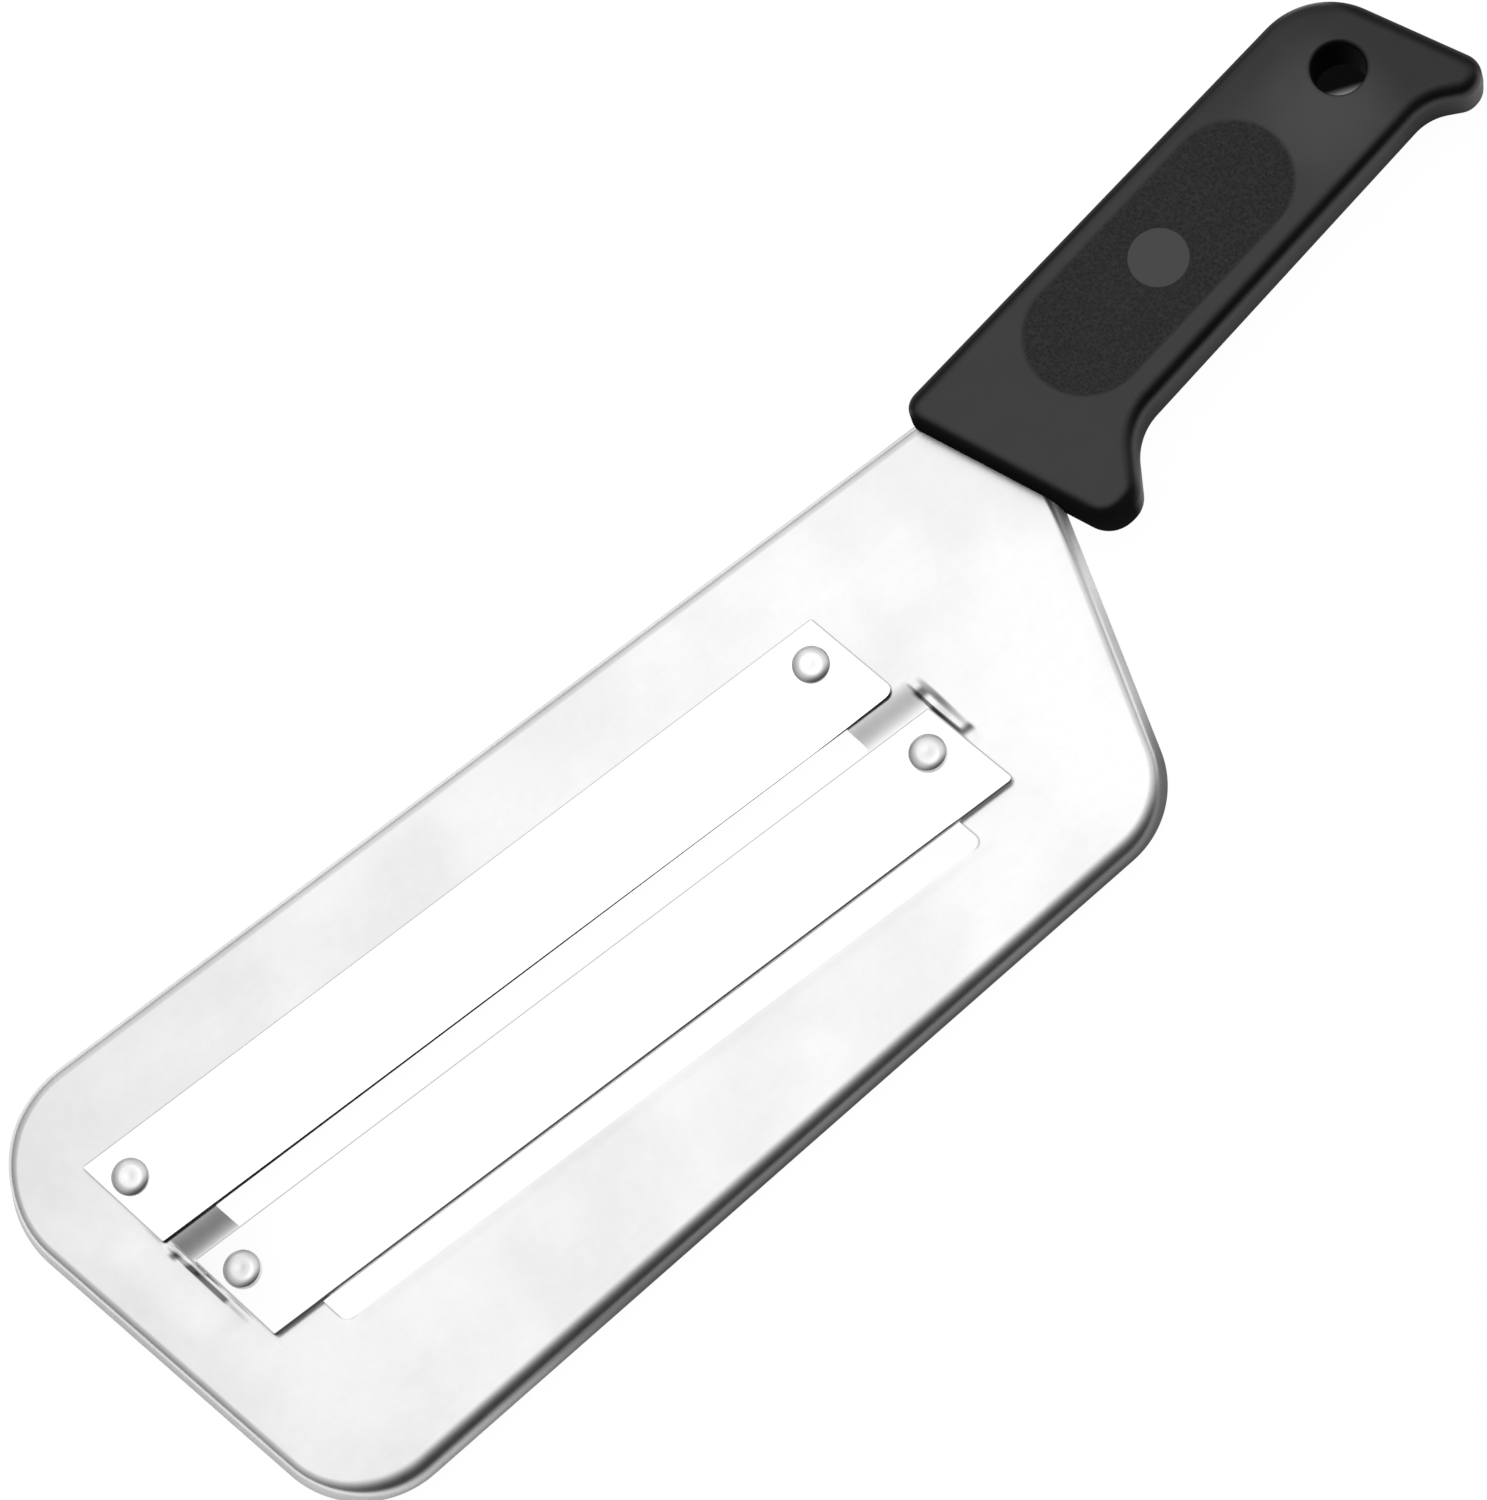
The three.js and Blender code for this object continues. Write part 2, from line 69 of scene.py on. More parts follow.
same = 1e-4                          # points this close are one, in millimetres
nearCut = same / 10                  # points this close to a cut lie on it
sharpAngle = math.radians(35)        # edges that turn by more stay sharp


def ease(t):
    t = min(max(t, 0.0), 1.0)
    return t * t * (3 - 2 * t)


def wholeMesh(bm):
    return bm.verts[:] + bm.edges[:] + bm.faces[:]


def roundedFace(bm, corners, steps, height=0.0):
    # corners run counter-clockwise as (x, y, radius); each arc is a vertex spun about its centre
    arcs = []
    for i, (x, y, radius) in enumerate(corners):
        here = Vector((x, y, height))
        before = Vector((*corners[i - 1][:2], height))
        after = Vector((*corners[(i + 1) % len(corners)][:2], height))
        into, out = (here - before).normalized(), (after - here).normalized()
        turn = math.atan2(into.cross(out).z, into.dot(out))
        start = bm.verts.new(here - into * radius * math.tan(abs(turn) / 2))
        centre = start.co + Vector((-into.y, into.x, 0)) * math.copysign(radius, turn)
        arc = bmesh.ops.spin(bm, geom=[start], cent=centre, axis=(0, 0, 1), angle=turn, steps=steps)
        arcs.append((start, [v for v in arc["geom_last"] if isinstance(v, bmesh.types.BMVert)][0]))
    for i, (start, _) in enumerate(arcs):
        bm.edges.new((arcs[i - 1][1], start))
    face = bmesh.ops.contextual_create(bm, geom=bm.edges[:])["faces"][0]
    if face.normal.z < 0:
        face.normal_flip()
    return face


def extrudeFace(bm, face, height):
    grown = bmesh.ops.extrude_face_region(bm, geom=[face])["geom"]
    top = [g for g in grown if isinstance(g, bmesh.types.BMFace)][0]
    bmesh.ops.translate(bm, vec=(0, 0, height), verts=top.verts[:])
    return top


def insetFace(bm, face, inset, rise):
    bmesh.ops.inset_region(bm, faces=[face], thickness=inset, use_even_offset=True, use_boundary=True)
    bmesh.ops.translate(bm, vec=(0, 0, rise), verts=face.verts[:])


def roundOver(bm, face, radius, steps):
    for k in range(steps):
        a, b = math.pi / 2 * k / steps, math.pi / 2 * (k + 1) / steps
        insetFace(bm, face, radius * (math.cos(a) - math.cos(b)), radius * (math.sin(b) - math.sin(a)))


def turnedMesh(profile, sides):
    # (radius, height) pairs from the axis round to the axis again
    bm = bmesh.new()
    verts = [bm.verts.new((r, 0, z)) for r, z in profile]
    edges = [bm.edges.new(pair) for pair in zip(verts, verts[1:])]
    bmesh.ops.spin(bm, geom=verts + edges, cent=(0, 0, 0), axis=(0, 0, 1), angle=2 * math.pi, steps=sides,
                   use_merge=True)
    bmesh.ops.remove_doubles(bm, verts=bm.verts[:], dist=same)
    bmesh.ops.recalc_face_normals(bm, faces=bm.faces[:])
    return bm


def objectFrom(bm, name, place):
    bmesh.ops.transform(bm, matrix=drawing @ place, verts=bm.verts[:])
    mesh = bpy.data.meshes.new(name)
    bm.to_mesh(mesh)
    bm.free()
    made = bpy.data.objects.new(name, mesh)
    scene.collection.objects.link(made)
    return made


def applyModifiers(piece):
    graph = bpy.context.evaluated_depsgraph_get()
    mesh = bpy.data.meshes.new_from_object(piece.evaluated_get(graph))
    piece.modifiers.clear()
    piece.data = mesh


def cutAway(piece, cutter):
    cut = piece.modifiers.new("cut", "BOOLEAN")
    cut.object = cutter
    cut.solver = "EXACT"
    applyModifiers(piece)
    bpy.data.objects.remove(cutter)


def clearSlivers(mesh):
    # what cuts and bevels leave behind; the mesh is in metres by now
    bm = bmesh.new()
    bm.from_mesh(mesh)
    bmesh.ops.remove_doubles(bm, verts=bm.verts[:], dist=same * millimetre)
    bmesh.ops.dissolve_degenerate(bm, dist=same * millimetre, edges=bm.edges[:])
    bm.to_mesh(mesh)
    bm.free()


def finishPiece(piece, material, node):
    clearSlivers(piece.data)
    piece.data.shade_smooth()
    piece.data.set_sharp_from_angle(angle=sharpAngle)
    weighted = piece.modifiers.new("even shading", "WEIGHTED_NORMAL")
    weighted.keep_sharp = True
    applyModifiers(piece)
    piece.data.materials.clear()
    piece.data.materials.append(material)
    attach(piece, "root")
    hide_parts(node)
    print("piece", piece.name, len(piece.data.polygons), "faces")


# Shader tools

class Wire:
    # one value in a node tree; arithmetic on it adds Math nodes
    def __init__(self, tree, socket=None):
        self.tree = tree
        self.socket = socket

    def node(self, kind, settings=None, sockets=None, out=0):
        made = self.tree.nodes.new(kind)
        for key, value in (settings or {}).items():
            setattr(made, key, value)
        for key, value in (sockets or {}).items():
            if isinstance(value, Wire):
                self.tree.links.new(value.socket, made.inputs[key])
            else:
                made.inputs[key].default_value = value
        return Wire(self.tree, made.outputs[out]) if made.outputs else None

    def maths(self, operation, first, second=0.0):
        return self.node("ShaderNodeMath", {"operation": operation}, {0: first, 1: second})

    def __add__(self, other):
        return self.maths("ADD", self, other)

    def __sub__(self, other):
        return self.maths("SUBTRACT", self, other)

    def __rsub__(self, other):
        return self.maths("SUBTRACT", other, self)

    def __mul__(self, other):
        return self.maths("MULTIPLY", self, other)

    __radd__ = __add__
    __rmul__ = __mul__

    def __abs__(self):
        return self.maths("ABSOLUTE", self)

    def atLeast(self, other):
        return self.maths("MAXIMUM", self, other)

    def hypotenuse(self, other):
        return self.maths("SQRT", self * self + other * other)

    def weighed(self, other, weights):
        return self * weights[0] + other * weights[1]

    def step(self, low, high):
        # 0 below low, 1 above high, eased between them
        sockets = {"Value": self, "From Min": low, "From Max": high}
        return self.node("ShaderNodeMapRange", {"interpolation_type": "SMOOTHSTEP"}, sockets)

    def within(self, low, high, soft):
        return self.step(low - soft, low + soft) * (1 - self.step(high - soft, high + soft))

    def noise(self, scale, detail=2.0, roughness=0.5):
        sockets = {"Vector": self, "Scale": scale, "Detail": detail, "Roughness": roughness}
        return self.node("ShaderNodeTexNoise", {}, sockets)

    def axes(self):
        split = self.node("ShaderNodeSeparateXYZ", {}, {"Vector": self}).socket.node
        return [Wire(self.tree, out) for out in split.outputs]

    def mapped(self, **sockets):
        return self.node("ShaderNodeMapping", {"vector_type": "TEXTURE"}, {"Vector": self, **sockets})

    def drawn(self, middle, rotation=(0, 0, 0)):
        # millimetres from a place in the drawing
        return self.mapped(Location=drawing @ middle, Rotation=rotation, Scale=(millimetre,) * 3)

    def mixed(self, dark, light):
        # this value as the factor between two colours
        return self.node("ShaderNodeMix", {"data_type": "RGBA"}, {0: self, 6: dark, 7: light}, 2)

    def bumped(self, strength, distance):
        sockets = {"Strength": strength, "Distance": distance, "Height": self}
        return self.node("ShaderNodeBump", {}, sockets)


def grey(tone):
    return (tone, tone, tone, 1.0)


def newMaterial(name):
    material = bpy.data.materials.new(name)
    material.use_nodes = True
    material.node_tree.nodes.clear()
    tree = Wire(material.node_tree)
    return material, tree, tree.node("ShaderNodeTexCoord", out="Object")


def surface(tree, sockets, dull=None, dullTone=0.0):
    # dull is where the finish gives way to a plain one without gloss
    shader = tree.node("ShaderNodeBsdfPrincipled", {}, sockets)
    if dull:
        plain = {**sockets, "Base Color": grey(dullTone), "Specular IOR Level": 0.0}
        matt = tree.node("ShaderNodeBsdfPrincipled", {}, plain)
        shader = tree.node("ShaderNodeMixShader", {}, {0: dull, 1: shader, 2: matt})
    tree.node("ShaderNodeOutputMaterial", {}, {"Surface": shader})


# Sizes that several pieces share

sheetThickness = 0.9
blade = {
    "length": 151.0, "width": 19.0, "thickness": 0.8, "skew": math.radians(12), "corner": 0.6,
    "edge": 0.12, "burr": 0.06, "burrAngle": 0.5, "gap": 5.25, "shift": 6.4, "tilt": math.radians(5.5),
    "cornerSteps": 6,
}
lean = math.tan(blade["skew"])
acrossEnd = Vector((math.cos(blade["skew"]), math.sin(blade["skew"]), 0))
halfWidth = blade["width"] / 2
lowerMiddle = Vector((blade["shift"], -blade["width"] - blade["gap"], 0))
lowerRear = lowerMiddle.y + halfWidth
lowerFront = lowerRear - blade["width"] * math.cos(blade["tilt"])
lowerLevel = (lowerRear + lowerFront) / 2
lowerPlace = Matrix.Translation((lowerMiddle.x, lowerLevel, 0)) @ Matrix.Rotation(-blade["tilt"], 4, "X")


def skewedCorners(middle, length, rear, front, radius, lastRadius):
    # lastRadius rounds the front corner at the handle end
    def at(end, y, rounding):
        return middle.x + end * length / 2 - (y - middle.y) * lean, y, rounding
    return [at(-1, rear, radius), at(-1, front, radius), at(1, front, lastRadius), at(1, rear, radius)]


# Blades

bladeFinish = {
    "dark": 0.92, "light": 0.97, "toneShares": (0.4, 0.6), "roughness": 0.10, "lines": 0.08,
    "roughShares": (0.5, 0.5), "bump": 0.08, "bumpDepth": 0.00001,
    "polishLines": (0.05, 0.0006, 0.0006), "hazeScale": 60.0,
    # the tone of the painted shade along the rear edge and ends
    "shearedAndShaded": 0.5, "shearedRoughness": 0.2, "rearLine": (9.2, 9.4), "endLine": (75.1, 75.35),
}
# bevels are (place along the blade, width of the ground edge) from the tip to the handle
upperEdge = {
    "bevels": [(-76, 0.4), (-48, 0.31), (-20, 0.24), (10, 0.19), (40, 0.1), (58, 0.08), (66, 0.2), (76, 0.4)],
    "slope": 1.1, "lastCorner": 1.8,
}
lowerEdge = {
    "bevels": [(-76, 0.3), (-67, 0.3), (-64, 0.34), (62, 0.31), (65, 0.22), (76, 0.22)],
    "slope": 1.7, "lastCorner": 0.9,
}


def bladeSteel(look, middle, tilt):
    material, tree, place = newMaterial("polishedBladeSteel")
    x, y, _ = place.drawn(middle, (tilt, 0, 0)).axes()
    lines = place.mapped(Scale=look["polishLines"]).noise(scale=3.0, detail=3.0)
    haze = place.noise(look["hazeScale"])
    tone = lines.weighed(haze, look["toneShares"]).mixed(grey(look["dark"]), grey(look["light"]))
    rough = look["roughness"] + look["lines"] * lines.weighed(haze, look["roughShares"])
    # rougher where the strip was sheared at its rear edge and ends, and painted darker there: painted shade
    # along those edges
    shearedAndShaded = y.step(*look["rearLine"]).atLeast(abs(x + y * lean).step(*look["endLine"]))
    surface(tree, {
        "Base Color": shearedAndShaded.mixed(tone, grey(look["shearedAndShaded"])), "Metallic": 1.0,
        "Roughness": rough + look["shearedRoughness"] * shearedAndShaded,
        "Normal": lines.bumped(look["bump"], look["bumpDepth"]),
    })
    return material


def bevelAt(bevels, u):
    left = max(b for b in bevels if b[0] <= u or b == bevels[0])
    right = min(b for b in bevels if b[0] > u or b == bevels[-1])
    share = (u - left[0]) / max(right[0] - left[0], same)
    return left[1] + (right[1] - left[1]) * min(max(share, 0.0), 1.0)


def bladeMesh(ground):
    bm = bmesh.new()
    thickness, edge = blade["thickness"], blade["edge"]
    corners = skewedCorners(Vector(), blade["length"], halfWidth, -halfWidth, blade["corner"],
                            ground["lastCorner"])
    rise = extrudeFace(bm, roundedFace(bm, corners, blade["cornerSteps"]), edge)
    extrudeFace(bm, rise, thickness - edge)
    bmesh.ops.delete(bm, geom=[rise], context="FACES_ONLY")
    for u, _ in ground["bevels"][1:-1]:
        bmesh.ops.bisect_plane(bm, geom=wholeMesh(bm), dist=nearCut, plane_co=(u, 0, 0), plane_no=acrossEnd)
    for v in bm.verts:
        if v.co.y < 0 and v.co.z > edge - same:
            bevel = bevelAt(ground["bevels"], v.co.x + v.co.y * lean)
            if v.co.z > thickness - same:
                v.co += Vector((-lean * bevel, bevel, 0))
            else:
                v.co.z = max(edge, thickness - bevel * ground["slope"])
    bmesh.ops.recalc_face_normals(bm, faces=bm.faces[:])
    # a small burr round the top, behind the ground edge
    top = [e for e in bm.edges if min(v.co.z for v in e.verts) > thickness - same]
    rims = [e for e in top if e.calc_face_angle(0) > blade["burrAngle"] and max(v.co.y for v in e.verts) > 0]
    bmesh.ops.bevel(bm, geom=rims, offset=blade["burr"], segments=2, profile=0.5, affect="EDGES", material=-1)
    return bm


upperCutter = objectFrom(bladeMesh(upperEdge), "upper_cutter", Matrix())
finishPiece(upperCutter, bladeSteel(bladeFinish, Vector(), 0.0), "upper_blade")
lowerCutter = objectFrom(bladeMesh(lowerEdge), "lower_cutter", lowerPlace)
lowerSteel = bladeSteel(bladeFinish, lowerPlace.translation, -blade["tilt"])
finishPiece(lowerCutter, lowerSteel, "lower_blade")


# Rivets

rivet = {
    "head": 6.4, "crown": 1.6, "height": 1.05, "edge": math.radians(47), "edgeSteps": 12,
    "dimple": 0.8, "dimpleFloor": 0.48, "dimpleDepth": 0.05, "dimpleStep": 0.03,
    "shank": 3.0, "tail": 5.2, "tailHeight": 0.9, "tailRound": 0.45,
    "endMargin": 5.25, "tipShift": 1.45, "back": 3.1, "sides": 64, "seatGap": 0.25,
}
rivetFinish = {
    "dark": 0.80, "light": 0.90, "metal": 0.94, "roughness": 0.26, "haze": 0.08, "hazeScale": 300.0,
    "bump": 0.15, "bumpDepth": 0.00004, "dingScale": 900.0,
}


def rivetSteel(look):
    material, tree, place = newMaterial("brightRivetSteel")
    dings = place.noise(look["dingScale"], detail=3.0)
    haze = place.noise(look["hazeScale"])
    surface(tree, {
        "Base Color": haze.mixed(grey(look["dark"]), grey(look["light"])), "Metallic": look["metal"],
        "Roughness": look["roughness"] + haze * look["haze"],
        "Normal": dings.bumped(look["bump"], look["bumpDepth"]),
    })
    return material


def rivetMesh(clamped, lift):
    # clamped is the stack between head and tail, lift the gap that the head's wall bridges
    head, shank, tail = rivet["head"] / 2, rivet["shank"] / 2, rivet["tail"] / 2
    crown, edge, height, steps = rivet["crown"], rivet["edge"], rivet["height"], rivet["edgeSteps"]
    bulge = (head - crown) / math.sin(edge)
    angles = [edge * k / steps for k in range(steps + 1)]
    profile = [(0, height - rivet["dimpleDepth"]), (rivet["dimpleFloor"], height - rivet["dimpleStep"]),
               (rivet["dimple"], height)]
    profile += [(crown + bulge * math.sin(a), height - bulge * (1 - math.cos(a))) for a in angles]
    profile += [(head, -lift), (shank, -lift), (shank, -clamped), (tail, -clamped)]
    foot = -clamped - rivet["tailHeight"]
    profile += [(tail, foot + rivet["tailRound"]), (tail - rivet["tailRound"], foot), (0, foot)]
    return turnedMesh(profile, rivet["sides"])


rivetMaterial = rivetSteel(rivetFinish)
alongBlade = blade["length"] / 2 - rivet["endMargin"]
stack = sheetThickness + blade["thickness"]
seatGap = rivet["seatGap"]
for end, side in (("tip", -1), ("handle", 1)):
    spot = Vector((side * alongBlade - rivet["tipShift"], rivet["back"], blade["thickness"]))
    upperStud = objectFrom(rivetMesh(stack, 0), f"upper_{end}_stud", Matrix.Translation(spot))
    finishPiece(upperStud, rivetMaterial, f"rivet_upper_{end}")
    spot.z += seatGap
    lowerStud = objectFrom(rivetMesh(stack + 3 * seatGap, seatGap), f"lower_{end}_stud",
                           lowerPlace @ Matrix.Translation(spot))
    finishPiece(lowerStud, rivetMaterial, f"rivet_lower_{end}")


# Handle

handle = {
    "middle": Vector((155.529, 20.95, -0.45)), "turn": math.radians(10.2), "thickness": 11.398,
    "fillet": 3.0, "frontFillet": 1.9, "filletBlend": 5.0, "draft": math.radians(2),
    "front": 48.3, "frontSlant": math.radians(13),
    "outline": [(-48.3, 16.45, 3.8), (-38.846, -24.5, 6.0), (-31.65, -24.5, 5.0), (-23.503, -15.1, 11.0),
                (48.928, -14.2, 9.0), (54.41, -18.55, 4.0), (61.39, -18.55, 4.1), (52.28, 15.45, 14.0)],
    "hole": 9.2, "holePlace": Vector((43.75, 0.85, 0)), "holeLip": 0.8, "panelPlace": Vector((0, 1.0, 0)),
    "filletSteps": 10, "cornerSteps": 20, "lipSteps": 8, "holeSides": 64, "holeCutBeyond": 2.0,
}
handlePlace = Matrix.Translation(handle["middle"]) @ Matrix.Rotation(handle["turn"], 4, "Z")
# places are millimetres from the middle of the grip panel
handleFinish = {
    "skin": 0.003, "skinPaintedSheen": 0.06, "panel": 0.004, "panelLight": 0.034, "disc": 0.058, "dull": 0.012,
    "skinRoughness": 0.26, "flowRoughness": 0.14, "panelRoughness": 0.56, "discRoughness": 0.30,
    "specular": 0.38, "bump": 0.8, "bumpDepth": 0.0002,
    "panelLength": 56.4, "panelWidth": 21.4, "panelSoft": 0.5, "discDiameter": 10.4, "discSoft": 0.1,
    "grainScale": 1.7, "creaseScale": 3.4, "skinScale": 6.0, "flowScale": 0.06, "cloudScale": 0.22,
    "leather": (0.32, 0.9), "leatherShares": (0.4, 0.8), "heightShares": (0.8, 0.6), "skinHeight": 0.10,
    # the painted sheen, its random parts, and its painted highlight beside the hanging hole
    "paintedSheen": 0.18, "sheenFlow": 0.3, "sheenClouds": 0.2, "flat": (5.2, 5.66),
    "paintedHighlight": 0.5, "paintedHighlightPlace": (36.0, -4.0, 5.7), "paintedHighlightReach": (2.0, 15.0),
    "endLoss": 0.36, "endFade": (41.0, 51.0),
    "backLoss": 0.2, "backFade": (5.0, 11.0), "backFrom": (0.0, 34.0),
    "frontSide": 15.6, "frontDull": (0.4, 1.8), "boreDull": (4.45, 4.7),
    "noseSide": (-21.5, -18.0), "noseEnd": (-34.0, -29.0),
    "edgeDull": 0.75, "backEdge": (12.4, 13.8), "endEdge": (51.2, 52.7), "endWay": (0.966, 0.259),
}


def handlePlastic(look, middle, turn):
    material, tree, place = newMaterial("blackMouldedPlastic")
    local = place.drawn(middle, (0, 0, turn))
    x, y, z = local.axes()
    discRadius, panelRadius = look["discDiameter"] / 2, look["panelWidth"] / 2
    past = (abs(x) - (look["panelLength"] / 2 - panelRadius)).atLeast(0.0)
    disc = 1 - x.hypotenuse(y).step(discRadius - look["discSoft"], discRadius + look["discSoft"])
    oval = 1 - past.hypotenuse(y).step(panelRadius - look["panelSoft"], panelRadius + look["panelSoft"])
    panel = oval * (1 - disc)
    grain = tree.node("ShaderNodeTexVoronoi", {"feature": "SMOOTH_F1"},
                      {"Vector": local, "Scale": look["grainScale"], "Smoothness": 0.6})
    creases = local.noise(look["creaseScale"], detail=3.0, roughness=0.65)
    skin = local.noise(look["skinScale"])                # fine spark texture of the mould
    flow = local.noise(look["flowScale"])
    clouds = local.noise(look["cloudScale"], detail=3.0)

    # painted sheen on the flat faces, over tone that varies at random: a painted highlight, palest beside the
    # hanging hole, fading towards the end and the back edge
    toPaintedHighlight = tree.node("ShaderNodeVectorMath", {"operation": "DISTANCE"}, {0: local, 1: look["paintedHighlightPlace"]},
                       "Value")
    paintedSheen = look["paintedSheen"] + look["sheenFlow"] * flow + look["sheenClouds"] * clouds
    paintedSheen = paintedSheen + look["paintedHighlight"] * (1 - toPaintedHighlight.step(*look["paintedHighlightReach"]))
    paintedSheen = paintedSheen - look["endLoss"] * x.step(*look["endFade"])
    paintedSheen = paintedSheen - look["backLoss"] * y.step(*look["backFade"]) * x.step(*look["backFrom"])
    flat = abs(z).step(*look["flat"])
    base = (paintedSheen.atLeast(0.0) * flat).mixed(grey(look["skin"]), grey(look["skinPaintedSheen"]))
    leather = grain.weighed(creases, look["leatherShares"]).step(*look["leather"])
    base = panel.mixed(base, leather.mixed(grey(look["panel"]), grey(look["panelLight"])))
    # the disc's lighter colour stands in for its reflection: painted reflection
    base = disc.mixed(base, grey(look["disc"]))
    rough = look["skinRoughness"] + look["flowRoughness"] * flow
    rough = rough + (look["panelRoughness"] - look["skinRoughness"]) * panel
    rough = rough + (look["discRoughness"] - look["skinRoughness"]) * disc
    height = panel * grain.weighed(creases, look["heightShares"]) + (1 - panel) * skin * look["skinHeight"]

    # no gloss on the front face, in the hanging hole, under the nose and along the outer edges
    ahead = x + handle["front"] - (look["frontSide"] - y) * math.tan(handle["frontSlant"])
    fromHole = (x - handle["holePlace"].x).hypotenuse(y)
    dull = (1 - ahead.step(*look["frontDull"])).atLeast(1 - fromHole.step(*look["boreDull"]))
    nose = (1 - y.step(*look["noseSide"])) * (1 - x.step(*look["noseEnd"])) * (1 - flat)
    atEnd = x.weighed(y, look["endWay"]).step(*look["endEdge"])
    outerEdge = look["edgeDull"] * y.step(*look["backEdge"]).atLeast(atEnd)
    surface(tree, {
        "Base Color": base, "Roughness": rough, "Specular IOR Level": look["specular"],
        "Normal": height.bumped(look["bump"], look["bumpDepth"]),
    }, dull.atLeast(nose.atLeast(outerEdge)), look["dull"])
    return material


def mouldMesh(fillet):
    # the upper half of the moulding, from the parting line up
    bm = bmesh.new()
    top = roundedFace(bm, handle["outline"], handle["cornerSteps"])
    wall = handle["thickness"] / 2 - fillet
    insetFace(bm, top, wall * math.tan(handle["draft"]), wall)
    roundOver(bm, top, fillet, handle["filletSteps"])
    return bm


def handleMesh():
    bm, ahead = mouldMesh(handle["fillet"]), mouldMesh(handle["frontFillet"])
    backCorner = handle["outline"][0][1]
    for v, close in zip(bm.verts, ahead.verts):
        inside = close.co.x + handle["front"] - (backCorner - close.co.y) * math.tan(handle["frontSlant"])
        v.co = close.co.lerp(v.co, ease(inside / handle["filletBlend"]))
    ahead.free()
    bmesh.ops.mirror(bm, geom=wholeMesh(bm), matrix=Matrix(), merge_dist=same, axis="Z")
    bmesh.ops.remove_doubles(bm, verts=bm.verts[:], dist=same)
    bmesh.ops.recalc_face_normals(bm, faces=bm.faces[:])
    return bm


def hangingHole():
    # a spool: straight bore with a rounded lip at both faces
    bore, lip, top = handle["hole"] / 2, handle["holeLip"], handle["thickness"] / 2
    beyond = top + handle["holeCutBeyond"]
    profile = [(0, beyond), (bore + lip, beyond)]
    for k in range(handle["lipSteps"] + 1):
        angle = math.pi / 2 * (1 - k / handle["lipSteps"])
        profile.append((bore + lip * (1 - math.cos(angle)), top - lip * (1 - math.sin(angle))))
    profile += [(r, -z) for r, z in reversed(profile)]
    place = handlePlace @ Matrix.Translation(handle["holePlace"])
    return objectFrom(turnedMesh(profile, handle["holeSides"]), "hole", place)


grip = objectFrom(handleMesh(), "grip_moulding", handlePlace)
cutAway(grip, hangingHole())
gripPlastic = handlePlastic(handleFinish, handlePlace @ handle["panelPlace"], handle["turn"])
finishPiece(grip, gripPlastic, "handle")


# Plate

# bends are (radius, angle); tuck is how far the sheet runs into the handle
plate = {
    "corners": [(-97.7, 26.55, 20.5), (-75.037, -67.79, 18.5), (102.7, -54.12, 16.5), (125.847, 26.55, 5.0)],
    "rim": 4.8, "frontBend": (3.5, math.radians(89)), "backBend": (2.4, math.radians(89)),
    "endBend": (1.8, math.radians(74)), "blend": 24.0, "tuck": 4.0, "cornerSteps": 32, "bendSteps": 14,
}
# the blades reach over their slots by overhang, and the middle slot runs a little under the lower blade
slots = {
    "endMargin": 10.5, "corner": 1.8, "overhang": 5.2, "underLower": 0.3, "frontGap": 4.95, "frontShift": 0.9,
    "cornerSteps": 8, "cutFrom": -8.0, "cutHeight": 12.0,
}
slotLength = blade["length"] - 2 * slots["endMargin"]
slotFront = lowerFront - slots["frontGap"]
middleSlot = (Vector(), -halfWidth + slots["overhang"], lowerRear - slots["underLower"])
frontSlot = (lowerMiddle - Vector((slots["frontShift"], 0, 0)), lowerFront + slots["overhang"], slotFront)
# the end walls go down in steps of (start, stop, share of the drop)
pressing = {
    "rampTop": -halfWidth + 1.2, "foot": lowerRear + 0.6, "drop": 2.0, "dropLean": 0.2, "footRun": 4.2,
    "gap": 0.08, "nearEnd": 75.5, "wallEnd": 78.7, "farEnd": 87.0,
    "tip": {"steps": [(75.6, 76.0, 0.5), (76.4, 77.3, 0.5)], "lean": 0.0, "draw": 0.25},
    "handle": {"steps": [(75.7, 76.35, 0.5), (77.2, 78.5, 0.5)], "lean": 0.05, "draw": 0.08},
    "drawRun": 8.5, "drawSide": 5.0, "lip": 0.07, "lipRun": 2.2, "lipFade": 2,
    "sideSteps": 5, "rampSteps": 16, "footSteps": 14, "seatSteps": 8, "lipSteps": 12,
    "endSteps": 28, "slowSteps": 10,
}
seatFront = lowerLevel - pressing["gap"] / math.tan(blade["tilt"])
plateFinish = {
    "dark": 0.68, "light": 0.88, "toneShares": (0.6, 0.4), "roughness": 0.27, "mottle": 0.10,
    "roughShares": (0.6, 0.4), "bump": 0.25, "bumpDepth": 0.00002, "bumpShares": (0.7, 0.5),
    "rolledLines": (0.02, 0.001, 0.001), "mottleScale": 420.0, "cloudScale": 38.0, "clouds": (0.3, 0.7),
    # painted shade in the steps at the ends of the pocket: along and across from the lower blade's middle,
    # and how soft
    "crevices": [
        ((-77.3, -76.35), (0.6, 9.9), 0.15), ((-77.8, -76.4), (11.6, 13.0), 0.4),
        ((75.65, 76.3), (3.0, 9.8), 0.15), ((75.6, 77.6), (11.6, 13.4), 0.4), ((75.7, 78.0), (2.1, 3.5), 0.4),
    ],
    "paintedShade": 0.10, "paintedShadeCover": 0.9, "paintedShadeSoft": 0.6,
    "lipTone": 0.5, "lipFrom": (62.0, 64.5), "lipInside": 0.1, "lipOutside": 0.22, "lipSoft": 0.08,
    # painted light on the rim where it runs into the handle
    "paintedRimLightTone": 0.95, "paintedRimLightFrom": (104.0, 110.0), "paintedRimLightBelow": (-0.5, -0.03), "paintedRimLightMetalLoss": 0.8,
    "paintedRimLightRoughness": 0.3,
}


